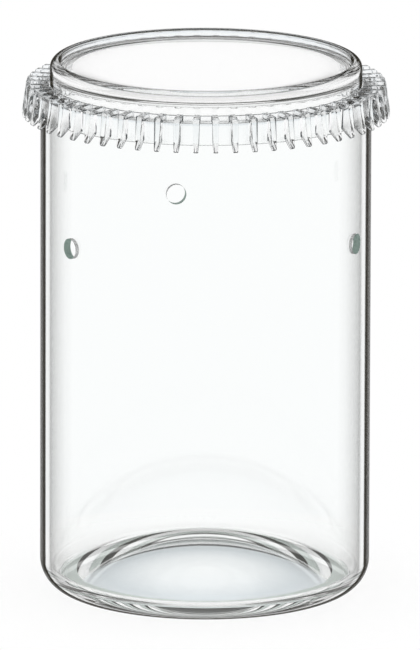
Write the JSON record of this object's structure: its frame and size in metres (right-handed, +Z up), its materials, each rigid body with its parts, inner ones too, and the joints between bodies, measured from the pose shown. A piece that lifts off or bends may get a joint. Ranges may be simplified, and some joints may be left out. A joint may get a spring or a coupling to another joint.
{
  "type": "glass plant pot",
  "caption": "Straight clear glass cup with drilled side holes, a clear toothed ring over its mouth and a dished clear lid; holds aquarium plants in substrate.",
  "frame": {"origin": "centre of the underside, on the table that the pot stands on", "axes": "+Z up along the pot's axis, -Y towards the viewer, +X to the viewer's right"},
  "size_m": [0.1112, 0.1112, 0.1639],
  "materials": {
    "clear_glass": "clear polished glass with a faint grey-green edge",
    "clear_plastic": "water-clear moulded plastic, polished"
  },
  "bodies": {
    "pot": {"glass_pot": "clear_glass"},
    "ring": {"comb_ring": "clear_plastic"},
    "cover": {"lid": "clear_plastic"}
  },
  "joints": [
    {"name": "ring_lift", "type": "slide", "parent": "pot", "child": "ring", "axis": [0, 0, 1], "range_m": [0, 0.03]},
    {"name": "lid_lift", "type": "slide", "parent": "ring", "child": "cover", "axis": [0, 0, 1], "range_m": [0, 0.025]}
  ]
}
